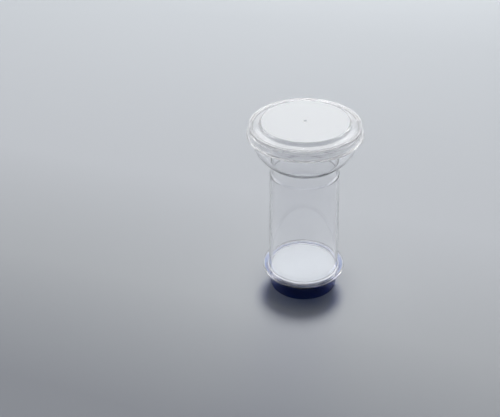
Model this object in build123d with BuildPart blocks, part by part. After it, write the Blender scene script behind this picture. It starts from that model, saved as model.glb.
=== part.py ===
from build123d import *
import os

# Vacuum filtration unit for 47 mm membranes: a clear funnel under a push-on lid, standing on a blue
# base that holds the membrane and its pad and drains through a plugged outlet.
# Millimetres. +Z is the axis of the unit, and the origin lies under that axis on the bench.

# ---- Filter stack -------------------------------------------------------------------------------
MEMBRANE_DIAMETER = 47.0
MEMBRANE_THICKNESS = 0.15
PAD_THICKNESS = 1.0
STACK_CLEARANCE = 0.2  # around the membrane and the pad in their recess

# ---- Base ---------------------------------------------------------------------------------------
SKIRT_DEPTH = 8.2  # bench to the underside of the floor
SKIRT_WALL = 1.4
FLOOR_THICKNESS = 1.4
DISH_DEPTH = 3.3  # floor to the pad's seat
DISH_FALL = 0.5  # how far the floor falls towards the outlet
PAD_SEAT_WIDTH = 3.1  # ledge under the pad's edge
SHOULDER_OVERHANG = 0.4  # the step under the flange, past the recess
SHOULDER_HEIGHT = 1.7
FLANGE_THICKNESS = 1.3
FLANGE_WIDTH = 1.1  # the flange past the rim
STACK_STAND = 0.45  # the membrane above the flange
RIM_WALL = 1.2
RIM_LIP = 0.15  # the rim above the membrane
RIB_COUNT = 12  # long ribs, with as many short ones between them
RIB_THICKNESS = 1.0
LONG_RIB_START = 5.0  # from the axis
SHORT_RIB_START = 11.5
EDGE_RADIUS = 0.35  # on the moulded outer edges
RIM_EDGE_RADIUS = 0.2

# ---- Outlet and plug ----------------------------------------------------------------------------
SPOUT_RADIUS = 3.2
SPOUT_BORE_RADIUS = 2.0
SPOUT_LENGTH = 6.0
PLUG_RECESS = 0.4  # the plug's face above the bench
PLUG_CLEARANCE = 0.05  # between the spout and the plug's socket
SOCKET_GAP = 0.3  # under the spout's tip
PLUG_FACE_RADIUS = 5.2
PLUG_SEAT_RADIUS = 6.1
GRIP_GAP = 4.85  # the grip's ends to the skirt
GRIP_WIDTH = 3.3
GRIP_HEIGHT = 6.2
PLUG_EDGE_RADIUS = 0.4

# ---- Funnel -------------------------------------------------------------------------------------
CLAMP_WIDTH = 2.1  # the funnel's foot, from the recess inwards over the membrane's edge
FOOT_CLEARANCE = 0.1  # between the foot and the base's rim
RIM_CLEARANCE = 0.06  # between the base's rim and the funnel's groove
GROOVE_WEB = 0.85  # the flange over the groove
APRON_WALL = 0.74  # the funnel's flange, where it turns down around the base's flange
APRON_DROP = 0.8
FUNNEL_WALL = 1.3
TUBE_HEIGHT = 71.6  # flange to the shoulder ring
TUBE_TAPER = 0.9  # on the radius, narrower towards the top
NECK_STEP = 0.6  # from the tube in to the neck
NECK_HEIGHT = 7.4
BOWL_FLARE = 13.0  # on the radius, from the neck to the bowl's edge
BOWL_HEIGHT = 19.4
BOWL_BULGE = 2.3  # of the bowl's arc past its chord
COLLAR_STEP = 1.1  # from the bowl's edge in to the collar
COLLAR_HEIGHT = 5.8
BOWL_ROOT_RADIUS = 2.0  # where the neck turns into the bowl
RING_RADIUS = 0.5  # on the shoulder ring

# ---- Lid ----------------------------------------------------------------------------------------
LID_CLEARANCE = 0.08  # between the collar and the lid's skirt
LID_THICKNESS = 1.1
LID_SKIRT_WALL = 0.9
LID_SKIRT_DRAFT = 0.25  # how much thinner the skirt is under the bead
LID_SKIRT_GAP = 0.2  # the lid's lower edge above the bowl's edge
PLATEAU_RISE = 2.3  # above the trough
PLATEAU_SLOPE = 0.7
TERRACE_WIDTH = 2.6  # the raised part of the trough, next to the plateau
TERRACE_SLOPE = 1.0  # of that, the part that slopes down
TERRACE_RISE = 0.25
GUTTER_WIDTH = 1.0  # the low part of the trough
BEAD_OVERHANG = 0.6  # past the skirt
BEAD_WIDTH = 1.6
BEAD_SLOPE = 1.1  # from the bead down to the trough
BEAD_RISE = 0.45  # above the trough, at the bead's outer edge
BEAD_FALL = 0.2  # from there to its inner edge
BEAD_DROP = 0.2  # below the trough
LOWER_SKIRT_STEP = 0.45  # the skirt's lower part past its upper part
LOWER_SKIRT_HEIGHT = 3.3
FINGER_FLANGE_WIDTH = 1.4
FINGER_FLANGE_THICKNESS = 1.2
FINGER_BEVEL_WIDTH = 0.6
FINGER_BEVEL_DEPTH = 0.4
GATE_RADIUS = 1.0
GATE_DEPTH = 0.15

# ---- Radii and heights that follow --------------------------------------------------------------
membrane_radius = MEMBRANE_DIAMETER / 2
recess_radius = membrane_radius + STACK_CLEARANCE
dish_radius = recess_radius - PAD_SEAT_WIDTH
skirt_radius = dish_radius + SKIRT_WALL
shoulder_radius = recess_radius + SHOULDER_OVERHANG
rim_radius = recess_radius + RIM_WALL
flange_radius = rim_radius + FLANGE_WIDTH

floor_top = SKIRT_DEPTH + FLOOR_THICKNESS
pad_seat = floor_top + DISH_DEPTH
membrane_seat = pad_seat + PAD_THICKNESS
membrane_top = membrane_seat + MEMBRANE_THICKNESS
rim_top = membrane_top + RIM_LIP
flange_top = membrane_top - STACK_STAND
flange_bottom = flange_top - FLANGE_THICKNESS
shoulder_bottom = flange_bottom - SHOULDER_HEIGHT
spout_tip = SKIRT_DEPTH - SPOUT_LENGTH

foot_bore_radius = recess_radius - CLAMP_WIDTH
foot_radius = recess_radius - FOOT_CLEARANCE
groove_radius = rim_radius + RIM_CLEARANCE
groove_top = rim_top + RIM_CLEARANCE
apron_bore_radius = flange_radius + RIM_CLEARANCE
funnel_flange_radius = apron_bore_radius + APRON_WALL
apron_bottom = flange_top - APRON_DROP
funnel_flange_top = groove_top + GROOVE_WEB
tube_foot_radius = foot_bore_radius + FUNNEL_WALL
tube_radius = tube_foot_radius - TUBE_TAPER
neck_radius = tube_radius - NECK_STEP
bowl_radius = neck_radius + BOWL_FLARE
collar_radius = bowl_radius - COLLAR_STEP
ring_height = flange_top + TUBE_HEIGHT
bowl_bottom = ring_height + NECK_HEIGHT
bowl_edge = bowl_bottom + BOWL_HEIGHT
mouth_height = bowl_edge + COLLAR_HEIGHT

lid_bore_radius = collar_radius + LID_CLEARANCE
lid_skirt_radius = lid_bore_radius + LID_SKIRT_WALL
bead_radius = lid_skirt_radius + BEAD_OVERHANG
lower_skirt_radius = lid_skirt_radius + LOWER_SKIRT_STEP
finger_flange_radius = lower_skirt_radius + FINGER_FLANGE_WIDTH
trough_height = mouth_height + LID_THICKNESS
plateau_height = trough_height + PLATEAU_RISE
bead_crest_radius = bead_radius - BEAD_WIDTH
bead_inside_radius = bead_crest_radius - BEAD_SLOPE
terrace_radius = bead_inside_radius - GUTTER_WIDTH
plateau_foot_radius = terrace_radius - TERRACE_WIDTH
plateau_radius = plateau_foot_radius - PLATEAU_SLOPE
lid_bottom = bowl_edge + LID_SKIRT_GAP
finger_flange_top = lid_bottom + FINGER_FLANGE_THICKNESS
lower_skirt_top = finger_flange_top + LOWER_SKIRT_HEIGHT


def corners(sketch, *places):
    """The profile's vertices at these (radius, height) places."""
    return [sketch.vertices().sort_by_distance(place)[0] for place in places]


# ---- Membrane: a plain white disc, its edge under the funnel's foot ------------------------------
with BuildPart() as membrane:
    with BuildSketch(Plane.XY.offset(membrane_seat)):
        Circle(membrane_radius)
    extrude(amount=MEMBRANE_THICKNESS)

# ---- Support pad: the absorbent disc that carries the membrane -----------------------------------
with BuildPart() as support_pad:
    with BuildSketch(Plane.XY.offset(pad_seat)):
        Circle(membrane_radius)
    extrude(amount=PAD_THICKNESS)

# ---- Base: skirt, floor with its spout, ribbed dish, pad's seat and flange in one moulding -------
with BuildPart() as base:
    with BuildSketch(Plane.XZ) as base_profile:
        with BuildLine():
            Polyline(
                (SPOUT_BORE_RADIUS, spout_tip),
                (SPOUT_RADIUS, spout_tip),
                (SPOUT_RADIUS, SKIRT_DEPTH),
                (dish_radius, SKIRT_DEPTH),
                (dish_radius, 0),
                (skirt_radius, 0),
                (skirt_radius, shoulder_bottom),
                (shoulder_radius, shoulder_bottom),
                (shoulder_radius, flange_bottom),
                (flange_radius, flange_bottom),
                (flange_radius, flange_top),
                (rim_radius, flange_top),
                (rim_radius, rim_top),
                (recess_radius, rim_top),
                (recess_radius, pad_seat),
                (dish_radius, pad_seat),
                (dish_radius, floor_top),
                (SPOUT_BORE_RADIUS, floor_top - DISH_FALL),
                close=True,
            )
        make_face()
        fillet(
            corners(
                base_profile,
                (dish_radius, 0),
                (skirt_radius, 0),
                (dish_radius, SKIRT_DEPTH),
                (shoulder_radius, shoulder_bottom),
                (flange_radius, flange_bottom),
                (flange_radius, flange_top),
                (SPOUT_RADIUS, spout_tip),
            ),
            EDGE_RADIUS,
        )
        fillet(corners(base_profile, (rim_radius, rim_top), (recess_radius, rim_top)), RIM_EDGE_RADIUS)
    revolve(axis=Axis.Z)

    with BuildSketch(Plane.XY.offset(floor_top - FLOOR_THICKNESS / 2)):
        for start, turn in ((LONG_RIB_START, 0), (SHORT_RIB_START, 180 / RIB_COUNT)):
            rib_length = dish_radius + SKIRT_WALL / 2 - start
            with PolarLocations(start + rib_length / 2, RIB_COUNT, start_angle=turn):
                Rectangle(rib_length, RIB_THICKNESS)
    extrude(amount=pad_seat - floor_top + FLOOR_THICKNESS / 2)

# ---- Outlet plug: a round socket over the spout, with a bar across it to pull it by ---------------
with BuildPart() as outlet_plug:
    with Locations((0, 0, PLUG_RECESS)):
        Box(
            2 * (dish_radius - GRIP_GAP),
            GRIP_WIDTH,
            GRIP_HEIGHT,
            align=(Align.CENTER, Align.CENTER, Align.MIN),
        )
    fillet(outlet_plug.edges(), PLUG_EDGE_RADIUS)
    with BuildSketch(Plane.XZ) as plug_profile:
        with BuildLine():
            Polyline(
                (0, PLUG_RECESS),
                (PLUG_FACE_RADIUS, PLUG_RECESS),
                (PLUG_SEAT_RADIUS, SKIRT_DEPTH),
                (0, SKIRT_DEPTH),
                close=True,
            )
        make_face()
        fillet(corners(plug_profile, (PLUG_FACE_RADIUS, PLUG_RECESS)), PLUG_EDGE_RADIUS)
    revolve(axis=Axis.Z)
    with Locations((0, 0, SKIRT_DEPTH)):
        Hole(SPOUT_RADIUS + PLUG_CLEARANCE, depth=SPOUT_LENGTH + SOCKET_GAP)

# ---- Funnel: flange and foot, tapered tube, shoulder ring, neck, bowl and collar in one moulding --
with BuildPart() as funnel:
    with BuildSketch(Plane.XZ) as funnel_outside:
        with BuildLine():
            foot_to_neck = Polyline(
                (0, membrane_top),
                (foot_radius, membrane_top),
                (foot_radius, groove_top),
                (groove_radius, groove_top),
                (groove_radius, flange_top),
                (apron_bore_radius, flange_top),
                (apron_bore_radius, apron_bottom),
                (funnel_flange_radius, apron_bottom),
                (funnel_flange_radius, funnel_flange_top),
                (tube_foot_radius, funnel_flange_top),
                (tube_radius, ring_height),
                (neck_radius, ring_height + NECK_STEP),
                (neck_radius, bowl_bottom),
            )
            bowl_side = SagittaArc(foot_to_neck @ 1, (bowl_radius, bowl_edge), -BOWL_BULGE)
            Polyline(
                bowl_side @ 1,
                (collar_radius, bowl_edge),
                (collar_radius, mouth_height),
                (0, mouth_height),
                (0, membrane_top),
            )
        make_face()
        fillet(
            corners(
                funnel_outside,
                (funnel_flange_radius, apron_bottom),
                (funnel_flange_radius, funnel_flange_top),
                (tube_foot_radius, funnel_flange_top),
                (bowl_radius, bowl_edge),
                (collar_radius, mouth_height),
            ),
            EDGE_RADIUS,
        )
        fillet(
            corners(funnel_outside, (tube_radius, ring_height), (neck_radius, ring_height + NECK_STEP)),
            RING_RADIUS,
        )
        fillet(corners(funnel_outside, (neck_radius, bowl_bottom)), BOWL_ROOT_RADIUS)
    revolve(axis=Axis.Z)

    with BuildSketch(Plane.XZ) as funnel_inside:
        with BuildLine():
            bore_to_neck = Polyline(
                (0, membrane_top),
                (foot_bore_radius, membrane_top),
                (tube_radius - FUNNEL_WALL, ring_height),
                (neck_radius - FUNNEL_WALL, ring_height + NECK_STEP),
                (neck_radius - FUNNEL_WALL, bowl_bottom + FUNNEL_WALL / 2),
            )
            bowl_lining = SagittaArc(
                bore_to_neck @ 1,
                (bowl_radius - FUNNEL_WALL, bowl_edge - FUNNEL_WALL / 2),
                -BOWL_BULGE,
            )
            Polyline(
                bowl_lining @ 1,
                (collar_radius - FUNNEL_WALL, bowl_edge + FUNNEL_WALL / 2),
                (collar_radius - FUNNEL_WALL, mouth_height),
                (0, mouth_height),
                (0, membrane_top),
            )
        make_face()
        fillet(
            corners(funnel_inside, (neck_radius - FUNNEL_WALL, bowl_bottom + FUNNEL_WALL / 2)),
            BOWL_ROOT_RADIUS + FUNNEL_WALL,
        )
    revolve(axis=Axis.Z, mode=Mode.SUBTRACT)

# ---- Lid: plateau, stepped trough, rim bead and a skirt with a finger flange ----------------------
with BuildPart() as lid:
    with BuildSketch(Plane.XZ) as lid_profile:
        with BuildLine():
            Polyline(
                (0, plateau_height - GATE_DEPTH),
                (GATE_RADIUS, plateau_height - GATE_DEPTH),
                (GATE_RADIUS, plateau_height),
                (plateau_radius, plateau_height),
                (plateau_foot_radius, trough_height + TERRACE_RISE),
                (terrace_radius - TERRACE_SLOPE, trough_height + TERRACE_RISE),
                (terrace_radius, trough_height),
                (bead_inside_radius, trough_height),
                (bead_crest_radius, trough_height + BEAD_RISE - BEAD_FALL),
                (bead_radius, trough_height + BEAD_RISE),
                (bead_radius, trough_height - BEAD_DROP),
                (lid_skirt_radius - LID_SKIRT_DRAFT, trough_height - BEAD_DROP),
                (lid_skirt_radius, lower_skirt_top),
                (lower_skirt_radius, lower_skirt_top),
                (lower_skirt_radius, finger_flange_top),
                (finger_flange_radius - FINGER_BEVEL_WIDTH, finger_flange_top),
                (finger_flange_radius, finger_flange_top - FINGER_BEVEL_DEPTH),
                (finger_flange_radius, lid_bottom),
                (lid_bore_radius, lid_bottom),
                (lid_bore_radius, mouth_height),
                (plateau_foot_radius - LID_THICKNESS, mouth_height),
                (plateau_radius - LID_THICKNESS, plateau_height - LID_THICKNESS),
                (0, plateau_height - LID_THICKNESS),
                close=True,
            )
        make_face()
        fillet(corners(lid_profile, (plateau_radius, plateau_height)), 2 * EDGE_RADIUS)
        fillet(
            corners(lid_profile, (bead_radius, trough_height + BEAD_RISE)),
            0.65 * (BEAD_RISE + BEAD_DROP),
        )
        fillet(
            corners(lid_profile, (bead_crest_radius, trough_height + BEAD_RISE - BEAD_FALL)),
            2 * EDGE_RADIUS,
        )
        fillet(
            corners(
                lid_profile,
                (lower_skirt_radius, lower_skirt_top),
                (lower_skirt_radius, finger_flange_top),
                (finger_flange_radius, lid_bottom),
                (lid_bore_radius, lid_bottom),
            ),
            EDGE_RADIUS,
        )
    revolve(axis=Axis.Z)

# ---- Names and files ------------------------------------------------------------------------------
pieces = {
    "lid": lid,
    "funnel": funnel,
    "membrane": membrane,
    "support_pad": support_pad,
    "base": base,
    "outlet_plug": outlet_plug,
}
os.makedirs("parts", exist_ok=True)
for name, piece in pieces.items():
    piece.part.label = name
    export_step(piece.part, f"parts/{name}.step")
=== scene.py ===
"""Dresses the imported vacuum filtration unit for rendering.

The funnel, the lid and the support pad are turned here as fine, closed walls and stand in for
their CAD nodes. The base, the outlet plug and the membrane keep their CAD shape and get smoothing
and a finish. Lengths in the classes are millimetres, and the scene is in metres.
"""

import logging
import math
from dataclasses import dataclass
from enum import Enum

import bmesh
import bpy
from mathutils import Euler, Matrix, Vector


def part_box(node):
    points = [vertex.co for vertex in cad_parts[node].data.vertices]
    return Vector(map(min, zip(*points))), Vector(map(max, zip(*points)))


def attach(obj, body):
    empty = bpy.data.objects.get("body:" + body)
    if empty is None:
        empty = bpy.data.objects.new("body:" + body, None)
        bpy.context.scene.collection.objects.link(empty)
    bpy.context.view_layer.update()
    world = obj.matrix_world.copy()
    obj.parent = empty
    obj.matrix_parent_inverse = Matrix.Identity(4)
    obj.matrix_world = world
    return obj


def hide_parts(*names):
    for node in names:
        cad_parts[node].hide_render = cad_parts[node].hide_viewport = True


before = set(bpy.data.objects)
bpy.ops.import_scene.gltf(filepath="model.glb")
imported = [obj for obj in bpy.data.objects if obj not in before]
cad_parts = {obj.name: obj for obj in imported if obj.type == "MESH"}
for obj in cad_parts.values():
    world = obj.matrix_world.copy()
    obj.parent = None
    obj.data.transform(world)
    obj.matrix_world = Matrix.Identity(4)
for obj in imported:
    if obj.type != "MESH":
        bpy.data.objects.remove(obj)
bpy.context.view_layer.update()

MM = 0.001
TURN_STEPS = 192
ROUND_SEGMENTS = 5
ARC_STEPS = 24
CIRCULAR = 0.5  # the profile of a bevel that is part of a circle
SEAT_GAP = 0.03  # keeps faces that rest on each other from sharing a plane
MERGE_MM = 0.002  # corners of a turned shape that are nearer than this are one
AXIS_MM = 0.01  # corners nearer to the axis than this are on it
WELD_MM = 0.001  # the same for the corners of a CAD node
CAD_SHARP_DEG = 28.0
TURNED_SHARP_DEG = 35.0
FACE_UP = 0.9  # a face whose normal points up by more than this is level
MIX_A, MIX_B, MIX_COLOUR = 6, 7, 2  # a mix node's two colour inputs and its colour output

log = logging.getLogger("filtration_unit")


class Slot(str, Enum):
    """Material slot names for the clear turned pieces and the pad; this script doesn't use them."""

    CLEAR = "clear_polystyrene"
    PAD = "white_pad"


def linear(hex_colour: str, alpha: float = 1.0) -> tuple[float, float, float, float]:
    """Turns an sRGB hex colour into linear values.

    Args:
        hex_colour: Six hex digits, with or without a leading #.
        alpha: The fourth value of the result.

    Returns:
        Linear red, green and blue, and alpha.
    """
    digits = hex_colour.lstrip("#")
    values = [int(digits[i : i + 2], 16) / 255 for i in (0, 2, 4)]
    red, green, blue = (v / 12.92 if v <= 0.04045 else ((v + 0.055) / 1.055) ** 2.4 for v in values)
    return red, green, blue, alpha


def add_node(
    tree: bpy.types.NodeTree,
    kind: str,
    settings: dict[str, object] | None = None,
    inputs: dict[str | int, object] | None = None,
) -> bpy.types.Node:
    """Adds a shader node with its settings, and with its inputs set or linked.

    Args:
        tree: The material's or world's node tree.
        kind: The node's type name.
        settings: Attributes of the node itself.
        inputs: For each input, a value, or the output socket that feeds it.

    Returns:
        The new node.
    """
    node = tree.nodes.new(kind)
    for name, value in (settings or {}).items():
        setattr(node, name, value)
    for name, value in (inputs or {}).items():
        if isinstance(value, bpy.types.NodeSocket):
            tree.links.new(value, node.inputs[name])
        else:
            node.inputs[name].default_value = value
    return node


@dataclass(frozen=True)
class Finish:
    """What every finish shares: a name and an empty node tree to fill."""

    name: str

    def start(self) -> tuple[bpy.types.Material, bpy.types.NodeTree, bpy.types.Node]:
        """Makes the empty material.

        Returns:
            The material, its node tree and its output node.
        """
        material = bpy.data.materials.new(self.name)
        material.use_nodes = True
        tree = material.node_tree
        tree.nodes.clear()
        return material, tree, add_node(tree, "ShaderNodeOutputMaterial")


@dataclass(frozen=True)
class ClearPolystyrene(Finish):
    """Crystal polystyrene, injection moulded against polished steel: water-clear and glossy, with
    the faint waviness that the melt leaves as it flows. Where clearness is under 1, the rest of
    the light is scattered as in a textured or milky wall."""

    tint: str = "#FEFEFF"
    roughness: float = 0.02
    ior: float = 1.59
    flow_mm: float = 9.0
    flow_octaves: float = 1.0
    flow_height_mm: float = 0.004
    clearness: float = 1.0

    def make(self) -> bpy.types.Material:
        """Builds the material."""
        material, tree, output = self.start()
        coordinates = add_node(tree, "ShaderNodeTexCoord")
        flow = add_node(
            tree,
            "ShaderNodeTexNoise",
            inputs={
                "Vector": coordinates.outputs["Object"],
                "Scale": 1 / (self.flow_mm * MM),
                "Detail": self.flow_octaves,
            },
        )
        bump = add_node(
            tree,
            "ShaderNodeBump",
            inputs={
                "Strength": 1.0,
                "Distance": self.flow_height_mm * MM,
                "Height": flow.outputs["Fac"],
            },
        )
        glass = add_node(
            tree,
            "ShaderNodeBsdfPrincipled",
            inputs={
                "Base Color": linear(self.tint),
                "Roughness": self.roughness,
                "IOR": self.ior,
                "Transmission Weight": self.clearness,
                "Normal": bump.outputs["Normal"],
            },
        )
        open_to_lamps(tree, glass.outputs["BSDF"], self.tint, output)
        return material


def open_to_lamps(
    tree: bpy.types.NodeTree, surface: bpy.types.NodeSocket, tint: str, output: bpy.types.Node
) -> None:
    """Lets lamplight through a see-through wall, tinted, so that what is inside is lit.

    Args:
        tree: The material's node tree.
        surface: The wall's own shader.
        tint: The colour of the light that gets through one face, as sRGB hex.
        output: The material's output node.
    """
    rays = add_node(tree, "ShaderNodeLightPath")
    passed = add_node(tree, "ShaderNodeBsdfTransparent", inputs={"Color": linear(tint)})
    mix = add_node(
        tree,
        "ShaderNodeMixShader",
        inputs={0: rays.outputs["Is Shadow Ray"], 1: surface, 2: passed.outputs["BSDF"]},
    )
    tree.links.new(mix.outputs["Shader"], output.inputs["Surface"])


@dataclass(frozen=True)
class BluePlastic(Finish):
    """Styrene resin dyed deep blue, injection moulded: glossy, and see-through where it is thin."""

    tint: str = "#A8C6EE"
    lamp_tint: str = "#90A8D8"
    depth_colour: str = "#20C8F0"
    depth_per_mm: float = 1.6
    roughness: float = 0.06
    ior: float = 1.57

    def make(self) -> bpy.types.Material:
        """Builds the material."""
        material, tree, output = self.start()
        glass = add_node(
            tree,
            "ShaderNodeBsdfPrincipled",
            inputs={
                "Base Color": linear(self.tint),
                "Roughness": self.roughness,
                "IOR": self.ior,
                "Transmission Weight": 1.0,
            },
        )
        depth = add_node(
            tree,
            "ShaderNodeVolumeAbsorption",
            inputs={"Color": linear(self.depth_colour), "Density": self.depth_per_mm / MM},
        )
        open_to_lamps(tree, glass.outputs["BSDF"], self.lamp_tint, output)
        tree.links.new(depth.outputs["Volume"], output.inputs["Volume"])
        return material


@dataclass(frozen=True)
class WhiteMembrane(Finish):
    """Mixed cellulose ester, cast as a film: white and dead matt, with pores too fine to see, so its
    grain is drawn several hundred times coarser than it is. Its colour is greyer than the real
    film's, because the walls around it let lamplight through twice over."""

    colour: str = "#C3C7CA"
    roughness: float = 0.85
    grain_mm: float = 0.35
    grain_octaves: float = 3.0
    grain_height_mm: float = 0.01

    def make(self) -> bpy.types.Material:
        """Builds the material."""
        material, tree, output = self.start()
        coordinates = add_node(tree, "ShaderNodeTexCoord")
        grain = add_node(
            tree,
            "ShaderNodeTexNoise",
            inputs={
                "Vector": coordinates.outputs["Object"],
                "Scale": 1 / (self.grain_mm * MM),
                "Detail": self.grain_octaves,
            },
        )
        bump = add_node(
            tree,
            "ShaderNodeBump",
            inputs={"Distance": self.grain_height_mm * MM, "Height": grain.outputs["Fac"]},
        )
        film = add_node(
            tree,
            "ShaderNodeBsdfPrincipled",
            inputs={
                "Base Color": linear(self.colour),
                "Roughness": self.roughness,
                "Normal": bump.outputs["Normal"],
            },
        )
        tree.links.new(film.outputs["BSDF"], output.inputs["Surface"])
        return material


@dataclass(frozen=True)
class CellulosePad(Finish):
    """Pressed cellulose card: off-white fibres lying flat, with a soft, uneven cut edge."""

    light: str = "#EFEDE6"
    dark: str = "#DAD7CC"
    roughness: float = 0.9
    fibre_mm: float = 0.9
    fibre_octaves: float = 6.0
    fibre_curl: float = 1.5
    fibre_height_mm: float = 0.05

    def make(self) -> bpy.types.Material:
        """Builds the material."""
        material, tree, output = self.start()
        coordinates = add_node(tree, "ShaderNodeTexCoord")
        fibres = add_node(
            tree,
            "ShaderNodeTexNoise",
            inputs={
                "Vector": coordinates.outputs["Object"],
                "Scale": 1 / (self.fibre_mm * MM),
                "Detail": self.fibre_octaves,
                "Distortion": self.fibre_curl,
            },
        )
        colour = add_node(tree, "ShaderNodeMix", settings={"data_type": "RGBA"})
        tree.links.new(fibres.outputs["Fac"], colour.inputs["Factor"])
        colour.inputs[MIX_A].default_value = linear(self.dark)
        colour.inputs[MIX_B].default_value = linear(self.light)
        bump = add_node(
            tree,
            "ShaderNodeBump",
            inputs={"Distance": self.fibre_height_mm * MM, "Height": fibres.outputs["Fac"]},
        )
        card = add_node(
            tree,
            "ShaderNodeBsdfPrincipled",
            inputs={
                "Base Color": colour.outputs[MIX_COLOUR],
                "Roughness": self.roughness,
                "Normal": bump.outputs["Normal"],
            },
        )
        tree.links.new(card.outputs["BSDF"], output.inputs["Surface"])
        return material


@dataclass(frozen=True)
class YellowPolyethylene(Finish):
    """Polyethylene, injection moulded: pale yellow and waxy, with light going a little way in."""

    colour: str = "#E6D68C"
    roughness: float = 0.38
    ior: float = 1.51
    depth_share: float = 0.35
    depth_mm: float = 1.2
    depth_by_colour: tuple[float, float, float] = (1.0, 0.8, 0.35)
    grain_mm: float = 0.5
    grain_octaves: float = 2.0
    grain_height_mm: float = 0.008

    def make(self) -> bpy.types.Material:
        """Builds the material."""
        material, tree, output = self.start()
        coordinates = add_node(tree, "ShaderNodeTexCoord")
        grain = add_node(
            tree,
            "ShaderNodeTexNoise",
            inputs={
                "Vector": coordinates.outputs["Object"],
                "Scale": 1 / (self.grain_mm * MM),
                "Detail": self.grain_octaves,
            },
        )
        bump = add_node(
            tree,
            "ShaderNodeBump",
            inputs={"Distance": self.grain_height_mm * MM, "Height": grain.outputs["Fac"]},
        )
        wax = add_node(
            tree,
            "ShaderNodeBsdfPrincipled",
            inputs={
                "Base Color": linear(self.colour),
                "Roughness": self.roughness,
                "IOR": self.ior,
                "Subsurface Weight": self.depth_share,
                "Subsurface Radius": self.depth_by_colour,
                "Subsurface Scale": self.depth_mm * MM,
                "Normal": bump.outputs["Normal"],
            },
        )
        tree.links.new(wax.outputs["BSDF"], output.inputs["Surface"])
        return material


class Turning:
    """A closed outline, drawn in the half plane through the axis, that is turned into a solid.

    Places are given as radius and height in millimetres.
    """

    def __init__(self, radius: float, height: float) -> None:
        """Starts the outline at one corner.

        Args:
            radius: The corner's distance from the axis.
            height: The corner's height.
        """
        self.bm = bmesh.new()
        self.rounds: dict[float, list[bmesh.types.BMVert]] = {}
        self.first = self.last = self.bm.verts.new(self.place(radius, height))

    @staticmethod
    def place(radius: float, height: float) -> Vector:
        """The point of the scene at this radius and height."""
        return Vector((radius * MM, 0, height * MM))

    def line_to(self, radius: float, height: float, rounding: float = 0.0) -> "Turning":
        """Draws a straight side.

        Args:
            radius: The next corner's distance from the axis.
            height: The next corner's height.
            rounding: How far the rounding of that corner reaches along its sides.

        Returns:
            The outline itself, so that sides can be chained.
        """
        corner = self.bm.verts.new(self.place(radius, height))
        self.bm.edges.new((self.last, corner))
        self.last = corner
        if rounding:
            self.rounds.setdefault(rounding, []).append(corner)
        return self

    def arc_to(self, radius: float, height: float, bulge: float, rounding: float = 0.0) -> "Turning":
        """Draws an arc, bulging to the right of the way it is drawn.

        Args:
            radius: The arc's end, as its distance from the axis.
            height: The arc's end, as its height.
            bulge: How far the arc stands out from its chord.
            rounding: How far the rounding of the corner at its end reaches.

        Returns:
            The outline itself, so that sides can be chained.
        """
        start, end = self.last.co.copy(), self.place(radius, height)
        half = (end - start).length / 2
        depth = abs(bulge) * MM
        arc_radius = (half**2 + depth**2) / (2 * depth)
        along = (end - start).normalized()
        right = Vector((along.z, 0, -along.x)) * math.copysign(1, bulge)
        centre = (start + end) / 2 - right * (arc_radius - depth)
        angle = 2 * math.asin(half / arc_radius) * math.copysign(1, bulge)
        made = bmesh.ops.spin(
            self.bm, geom=[self.last], cent=centre, axis=(0, 1, 0), angle=-angle, steps=ARC_STEPS
        )
        self.last = next(v for v in made["geom_last"] if isinstance(v, bmesh.types.BMVert))
        if rounding:
            self.rounds.setdefault(rounding, []).append(self.last)
        return self

    def turned(self, name: str) -> bpy.types.Object:
        """Closes the outline, rounds its corners and turns it about the axis.

        Args:
            name: The new object's name.

        Returns:
            The finished object, with smooth faces and sharp corners.
        """
        if self.last is not self.first:
            self.bm.edges.new((self.last, self.first))
        bmesh.ops.contextual_create(self.bm, geom=self.bm.edges[:])
        for reach, corners in self.rounds.items():
            bmesh.ops.bevel(
                self.bm,
                geom=corners,
                offset=reach * MM,
                offset_type="OFFSET",
                segments=ROUND_SEGMENTS,
                profile=CIRCULAR,
                affect="VERTICES",
                material=-1,
            )
        bmesh.ops.delete(self.bm, geom=self.bm.faces[:], context="FACES_ONLY")
        bmesh.ops.spin(
            self.bm,
            geom=self.bm.verts[:] + self.bm.edges[:],
            cent=(0, 0, 0),
            axis=(0, 0, 1),
            angle=math.tau,
            steps=TURN_STEPS,
            use_merge=True,
        )
        bmesh.ops.remove_doubles(self.bm, verts=self.bm.verts, dist=MERGE_MM * MM)
        on_axis = [e for e in self.bm.edges if all(v.co.xy.length < AXIS_MM * MM for v in e.verts)]
        bmesh.ops.delete(self.bm, geom=on_axis, context="EDGES")
        bmesh.ops.recalc_face_normals(self.bm, faces=self.bm.faces)
        return finished_object(name, self.bm)


def finished_object(name: str, bm: bmesh.types.BMesh) -> bpy.types.Object:
    """Turns a bmesh into an object of the scene.

    Args:
        name: The new object's name.
        bm: The mesh, which is freed.

    Returns:
        The object, at the origin.
    """
    mesh = bpy.data.meshes.new(name)
    bm.to_mesh(mesh)
    bm.free()
    mesh.polygons.foreach_set("use_smooth", [True] * len(mesh.polygons))
    mesh.set_sharp_from_angle(angle=math.radians(TURNED_SHARP_DEG))
    obj = bpy.data.objects.new(name, mesh)
    bpy.context.scene.collection.objects.link(obj)
    keep_flats_flat(obj)
    return obj


def keep_flats_flat(obj: bpy.types.Object) -> None:
    """Lets the larger face rule the shading at each corner, so that roundings don't bend flat walls."""
    weighted = obj.modifiers.new("flat_faces_rule", "WEIGHTED_NORMAL")
    weighted.keep_sharp = True


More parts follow.
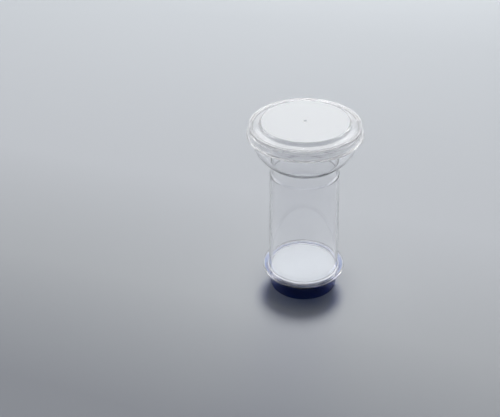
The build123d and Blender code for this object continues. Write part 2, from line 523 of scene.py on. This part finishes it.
def smooth_cad_node(node: str, material: bpy.types.Material) -> bpy.types.Object:
    """Finishes a CAD node whose shape is right.

    Args:
        node: The node's name.
        material: Its finish.

    Returns:
        The node's object.
    """
    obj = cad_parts[node]
    obj.data.materials.clear()
    obj.data.materials.append(material)
    obj.data.polygons.foreach_set("use_smooth", [True] * len(obj.data.polygons))
    weld = obj.modifiers.new("joined_faces", "WELD")
    weld.merge_threshold = WELD_MM * MM
    split = obj.modifiers.new("sharp_corners", "EDGE_SPLIT")
    split.split_angle = math.radians(CAD_SHARP_DEG)
    keep_flats_flat(obj)
    return obj


def heights(node: str) -> tuple[float, float]:
    """A CAD node's lowest and highest height, in millimetres."""
    low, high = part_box(node)
    return low.z / MM, high.z / MM


@dataclass
class Funnel:
    """The clear funnel: foot and flange, tapered tube, shoulder ring, neck, bowl and collar."""

    finish: bpy.types.Material
    wall: float = 1.3
    foot_bore: float = 21.6
    foot_radius: float = 23.6
    foot_height: float = 0.45
    groove_radius: float = 24.96
    groove_height: float = 0.66
    apron_bore: float = 26.06
    apron_drop: float = 0.8
    flange_radius: float = 26.8
    flange_height: float = 1.51
    tube_radius: float = 22.0
    ring_height: float = 71.6
    neck_radius: float = 21.4
    bowl_height: float = 79.0
    bowl_radius: float = 34.4
    edge_height: float = 98.4
    bowl_bulge: float = 2.3
    collar_radius: float = 33.3
    edge_round: float = 0.35
    ring_round: float = 0.8
    collar_root_round: float = 0.8
    neck_round: float = 2.0
    bowl_floor_round: float = 3.3

    def build(self) -> bpy.types.Object:
        """Turns the funnel on its flange's seat and puts it in place of its node."""
        low, top = heights("funnel")
        seat = low + self.apron_drop
        bottom = seat + SEAT_GAP
        mouth = top - SEAT_GAP
        step = self.tube_radius - self.neck_radius
        wall = self.wall
        collar_root = seat + self.edge_height + wall / 2
        tube = (
            Turning(self.foot_bore, seat + self.foot_height + SEAT_GAP)
            .line_to(self.foot_radius, seat + self.foot_height + SEAT_GAP)
            .line_to(self.foot_radius, seat + self.groove_height + SEAT_GAP)
            .line_to(self.groove_radius, seat + self.groove_height + SEAT_GAP)
            .line_to(self.groove_radius, bottom)
            .line_to(self.apron_bore, bottom)
            .line_to(self.apron_bore, low)
            .line_to(self.flange_radius, low, self.edge_round)
            .line_to(self.flange_radius, seat + self.flange_height, self.edge_round)
            .line_to(self.foot_bore + wall, seat + self.flange_height, self.edge_round)
            .line_to(self.tube_radius, seat + self.ring_height, self.ring_round)
            .line_to(self.neck_radius, seat + self.ring_height + step, self.ring_round)
            .line_to(self.neck_radius, seat + self.bowl_height, self.neck_round)
            .arc_to(self.bowl_radius, seat + self.edge_height, self.bowl_bulge, self.edge_round)
            .line_to(self.collar_radius, seat + self.edge_height)
            .line_to(self.collar_radius, mouth, self.edge_round)
            .line_to(self.collar_radius - wall, mouth, self.edge_round)
            .line_to(self.collar_radius - wall, collar_root, self.collar_root_round)
            .line_to(self.bowl_radius - wall, seat + self.edge_height - wall / 2)
            .arc_to(
                self.neck_radius - wall,
                seat + self.bowl_height + wall / 2,
                -self.bowl_bulge,
                self.bowl_floor_round,
            )
            .line_to(self.neck_radius - wall, seat + self.ring_height + step, self.ring_round)
            .line_to(self.tube_radius - wall, seat + self.ring_height, self.ring_round)
        )
        piece = tube.turned("clear_funnel")
        return dress(piece, self.finish, "funnel", "funnel")


@dataclass
class Lid:
    """The clear lid: raised centre with its gate mark, stepped trough, rim bead and skirt."""

    finish: bpy.types.Material
    frost: bpy.types.Material
    wall: float = 1.1
    bore: float = 33.38
    plateau_radius: float = 27.88
    plateau_foot: float = 28.58
    plateau_rise: float = 2.3
    plateau_round: float = 1.1
    terrace_radius: float = 31.18
    terrace_slope: float = 1.0
    terrace_rise: float = 0.25
    bead_radius: float = 34.88
    bead_crest: float = 33.28
    bead_foot: float = 32.18
    bead_rise: float = 0.45
    bead_fall: float = 0.2
    bead_drop: float = 0.2
    skirt_radius: float = 34.28
    skirt_draft: float = 0.25
    lower_skirt_radius: float = 34.73
    flange_radius: float = 36.13
    flange_thickness: float = 1.2
    flange_bevel: tuple[float, float] = (0.6, 0.4)
    lower_skirt_height: float = 3.3
    gate_radius: float = 1.0
    gate_depth: float = 0.15
    gate_round: float = 0.08
    roof_round: float = 0.4
    bore_round: float = 0.2
    edge_round: float = 0.35
    flange_round: float = 0.3
    small_round: float = 0.1
    bead_round: float = 0.42
    crest_round: float = 0.5
    frost_depth: float = 0.1

    def build(self) -> bpy.types.Object:
        """Turns the lid and puts it in place of its node."""
        bottom, top = heights("lid")
        trough = top - self.plateau_rise
        under = trough - self.wall + SEAT_GAP
        bevel_width, bevel_depth = self.flange_bevel
        flange_top = bottom + self.flange_thickness
        skirt_step = flange_top + self.lower_skirt_height
        turning = (
            Turning(0, top - self.wall)
            .line_to(self.plateau_radius - self.wall, top - self.wall, self.roof_round)
            .line_to(self.plateau_foot - self.wall, under)
            .line_to(self.bore, under, self.bore_round)
            .line_to(self.bore, bottom, self.edge_round)
            .line_to(self.flange_radius, bottom, self.flange_round)
            .line_to(self.flange_radius, flange_top - bevel_depth)
            .line_to(self.flange_radius - bevel_width, flange_top, self.small_round)
            .line_to(self.lower_skirt_radius, flange_top, self.edge_round)
            .line_to(self.lower_skirt_radius, skirt_step, self.edge_round)
            .line_to(self.skirt_radius, skirt_step)
            .line_to(self.skirt_radius - self.skirt_draft, trough - self.bead_drop)
            .line_to(self.bead_radius, trough - self.bead_drop, self.small_round)
            .line_to(self.bead_radius, trough + self.bead_rise, self.bead_round)
            .line_to(self.bead_crest, trough + self.bead_rise - self.bead_fall, self.crest_round)
            .line_to(self.bead_foot, trough)
            .line_to(self.terrace_radius, trough)
            .line_to(self.terrace_radius - self.terrace_slope, trough + self.terrace_rise)
            .line_to(self.plateau_foot, trough + self.terrace_rise)
            .line_to(self.plateau_radius, top, self.plateau_round)
            .line_to(self.gate_radius, top, self.gate_round)
            .line_to(self.gate_radius, top - self.gate_depth)
            .line_to(0, top - self.gate_depth)
        )
        piece = turning.turned("clear_lid")
        dress(piece, self.finish, "lid", "lid")
        piece.data.materials.append(self.frost)
        frosted_above = (top - self.frost_depth) * MM
        for face in piece.data.polygons:
            is_frosted = face.center.z > frosted_above and face.normal.z > FACE_UP
            face.material_index = int(is_frosted)
        return piece


@dataclass
class SupportPad:
    """The absorbent card disc under the membrane, with softened edges."""

    finish: bpy.types.Material
    edge_round: float = 0.35

    def build(self) -> bpy.types.Object:
        """Turns the pad and puts it in place of its node."""
        bottom, top = heights("support_pad")
        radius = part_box("support_pad")[1].x / MM - SEAT_GAP
        turning = (
            Turning(0, bottom + SEAT_GAP)
            .line_to(radius, bottom + SEAT_GAP, self.edge_round)
            .line_to(radius, top - SEAT_GAP, self.edge_round)
            .line_to(0, top - SEAT_GAP)
        )
        piece = turning.turned("absorbent_pad")
        return dress(piece, self.finish, "base", "support_pad")


def dress(
    piece: bpy.types.Object, finish: bpy.types.Material, body: str, node: str
) -> bpy.types.Object:
    """Gives a piece its finish and its place in the frame.

    Args:
        piece: The new object.
        finish: Its material.
        body: The body that it rides on.
        node: The CAD node that it stands for.

    Returns:
        The piece.
    """
    piece.data.materials.append(finish)
    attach(piece, body)
    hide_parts(node)
    return piece


@dataclass(frozen=True)
class Lamp:
    """An oval soft lamp that points at the unit.

    Attributes:
        name: The lamp's name.
        direction_deg: Where it hangs, as degrees to the right of straight behind and degrees up.
        distance: How far off it hangs, in metres.
        size: Its width and height, in metres.
        radiance: How bright its cloth is.
        glare: Whether it shows in gloss and lights nothing matt, or the other way round, as a
            lamp behind a polarising filter does.
    """

    name: str
    direction_deg: tuple[float, float]
    distance: float
    size: tuple[float, float]
    radiance: float
    glare: bool

    def hang(self, aim: Vector) -> None:
        """Hangs the lamp.

        Args:
            aim: The point of the scene that it points at.
        """
        azimuth, elevation = (math.radians(angle) for angle in self.direction_deg)
        away = Vector(
            (
                math.sin(azimuth) * math.cos(elevation),
                math.cos(azimuth) * math.cos(elevation),
                math.sin(elevation),
            )
        )
        light = bpy.data.lights.new(self.name, "AREA")
        light.shape = "ELLIPSE"
        light.size, light.size_y = self.size
        area = math.pi / 4 * self.size[0] * self.size[1]
        light.energy = self.radiance * math.pi * area
        lamp = bpy.data.objects.new(self.name, light)
        lamp.location = aim + away * self.distance
        lamp.rotation_euler = (-away).to_track_quat("-Z", "Y").to_euler()
        lamp.visible_camera = False
        lamp.visible_glossy = lamp.visible_transmission = self.glare
        lamp.visible_diffuse = not self.glare
        bpy.context.scene.collection.objects.link(lamp)


@dataclass
class Studio:
    """A pale floor, soft lamps and a camera above and in front of the unit.

    The key lamp gives the light and the shadow. The others only put soft edges of light on gloss.
    The room's shades are for what is behind the unit, in front of it and above it.
    """

    lamps: tuple[Lamp, ...] = (
        Lamp("key_behind_polariser", (10.0, 34.5), 2.0, (0.8, 0.8), 30.2, glare=False),
        Lamp("glare_panel", (12.0, 49.0), 2.4, (3.4, 1.5), 1.6, glare=True),
        Lamp("glare_left", (-65.0, 35.0), 2.4, (1.6, 1.8), 2.8, glare=True),
        Lamp("glare_right", (65.0, 35.0), 2.4, (1.6, 1.8), 2.8, glare=True),
        Lamp("glare_ceiling", (0.0, 90.0), 2.4, (4.0, 4.0), 0.4, glare=True),
        Lamp("glare_front", (180.0, 25.0), 2.4, (4.0, 2.0), 0.35, glare=True),
    )
    floor_half_width: float = 6.0
    floor_roughness: float = 0.6
    # Painted shade: the floor is darker towards the front and the left, where light falls off.
    floor_painted_shade_stops: tuple[tuple[float, str], ...] = (
        (-0.16, "#92959A"),
        (-0.04, "#B4B7B9"),
        (0.10, "#C2C5C8"),
        (0.45, "#B7BBBE"),
    )
    # Tips the painted shade so that the floor's left side is darker too.
    painted_shade_slant: float = 0.4
    back: str = "#C4C7CB"
    front: str = "#5C6680"
    overhead: str = "#10172B"
    overhead_height: tuple[float, float] = (0.45, 0.75)
    back_depth: tuple[float, float] = (-0.2, 0.7)
    aim: tuple[float, float, float] = (0.0, 0.0, 0.02)
    camera_place_mm: tuple[float, float, float] = (-34.95, -519.9, 396.9)
    pitch_deg: float = 33.08
    roll_deg: float = -1.29
    lens_mm: float = 69.16
    sensor_mm: float = 36.0
    clip_start: float = 0.01

    def floor(self) -> None:
        """Lays the floor, with painted shade: darker towards the front and the left."""
        bm = bmesh.new()
        bmesh.ops.create_grid(bm, x_segments=1, y_segments=1, size=self.floor_half_width)
        floor = finished_object("studio_floor", bm)
        # Matt board; its colour ramp below is painted shade.
        material = bpy.data.materials.new("matt_board_painted_shade")
        material.use_nodes = True
        tree = material.node_tree
        paint = tree.nodes["Principled BSDF"]
        paint.inputs["Roughness"].default_value = self.floor_roughness
        coordinates = add_node(tree, "ShaderNodeTexCoord")
        near, far = self.floor_painted_shade_stops[0][0], self.floor_painted_shade_stops[-1][0]
        slant = add_node(
            tree,
            "ShaderNodeVectorMath",
            settings={"operation": "DOT_PRODUCT"},
            inputs={0: coordinates.outputs["Object"], 1: (self.painted_shade_slant, 1.0, 0.0)},
        )
        depth = add_node(
            tree,
            "ShaderNodeMapRange",
            inputs={"Value": slant.outputs["Value"], "From Min": near, "From Max": far},
        )
        colour = add_node(tree, "ShaderNodeValToRGB", inputs={"Fac": depth.outputs["Result"]})
        stops = colour.color_ramp.elements
        for place, shade in self.floor_painted_shade_stops[1:-1]:
            stops.new((place - near) / (far - near)).color = linear(shade)
        stops[0].color = linear(self.floor_painted_shade_stops[0][1])
        stops[-1].color = linear(self.floor_painted_shade_stops[-1][1])
        tree.links.new(colour.outputs["Color"], paint.inputs["Base Color"])
        floor.data.materials.append(material)

    def world(self) -> None:
        """Surrounds the unit with a room that is pale behind it, dimmer in front and dark overhead."""
        world = bpy.data.worlds.new("studio")
        bpy.context.scene.world = world
        world.use_nodes = True
        tree = world.node_tree
        background = tree.nodes["Background"]
        coordinates = add_node(tree, "ShaderNodeTexCoord")
        axes = add_node(
            tree,
            "ShaderNodeSeparateXYZ",
            inputs={"Vector": coordinates.outputs["Generated"]},
        )
        height, depth = (
            add_node(
                tree,
                "ShaderNodeMapRange",
                settings={"interpolation_type": "SMOOTHSTEP"},
                inputs={"Value": axes.outputs[axis], "From Min": start, "From Max": end},
            )
            for axis, (start, end) in (("Z", self.overhead_height), ("Y", self.back_depth))
        )
        around = add_node(tree, "ShaderNodeMix", settings={"data_type": "RGBA"})
        tree.links.new(depth.outputs["Result"], around.inputs["Factor"])
        around.inputs[MIX_A].default_value = linear(self.front)
        around.inputs[MIX_B].default_value = linear(self.back)
        room = add_node(tree, "ShaderNodeMix", settings={"data_type": "RGBA"})
        tree.links.new(height.outputs["Result"], room.inputs["Factor"])
        tree.links.new(around.outputs[MIX_COLOUR], room.inputs[MIX_A])
        room.inputs[MIX_B].default_value = linear(self.overhead)
        tree.links.new(room.outputs[MIX_COLOUR], background.inputs["Color"])

    def camera(self) -> None:
        """Sets up the camera."""
        data = bpy.data.cameras.new("camera")
        data.sensor_width = self.sensor_mm
        data.lens = self.lens_mm
        data.clip_start = self.clip_start
        camera = bpy.data.objects.new("camera", data)
        camera.location = Vector(self.camera_place_mm) * MM
        look = Euler((math.radians(90 - self.pitch_deg), 0, 0)).to_quaternion()
        roll = Euler((0, 0, math.radians(self.roll_deg))).to_quaternion()
        camera.rotation_euler = (look @ roll).to_euler()
        bpy.context.scene.collection.objects.link(camera)
        bpy.context.scene.camera = camera

    def build(self) -> None:
        """Builds the whole studio."""
        self.floor()
        self.world()
        for lamp in self.lamps:
            lamp.hang(Vector(self.aim))
        self.camera()
        bpy.context.scene.view_settings.view_transform = "Standard"


def main() -> None:
    """Builds the unit's pieces and the studio."""
    clear = ClearPolystyrene("polystyrene_moulded_clear").make()
    # The lid's wall: a little milky, so that it reads paler than the funnel.
    haze = ClearPolystyrene(
        "polystyrene_moulded_hazy",
        tint="#FEFEFE",
        roughness=0.06,
        flow_height_mm=0.001,
        clearness=0.82,
    ).make()
    # The top of the lid's centre: moulded against spark-eroded steel, nearly white.
    frost = ClearPolystyrene(
        "polystyrene_moulded_frosted",
        tint="#F0F2F2",
        roughness=0.35,
        clearness=0.05,
    ).make()
    blue = BluePlastic("styrene_moulded_blue").make()
    film = WhiteMembrane("cellulose_ester_cast").make()
    card = CellulosePad("cellulose_card_pressed").make()
    wax = YellowPolyethylene("polyethylene_moulded_yellow").make()
    for piece in (Funnel(clear).build(), Lid(haze, frost).build(), SupportPad(card).build()):
        log.info("%s: %d faces", piece.name, len(piece.data.polygons))
    for node, material in (("base", blue), ("membrane", film), ("outlet_plug", wax)):
        smooth_cad_node(node, material)
        log.info("%s keeps its CAD shape", node)
    Studio().build()


if __name__ == "__main__":
    logging.basicConfig(level=logging.INFO)
    main()
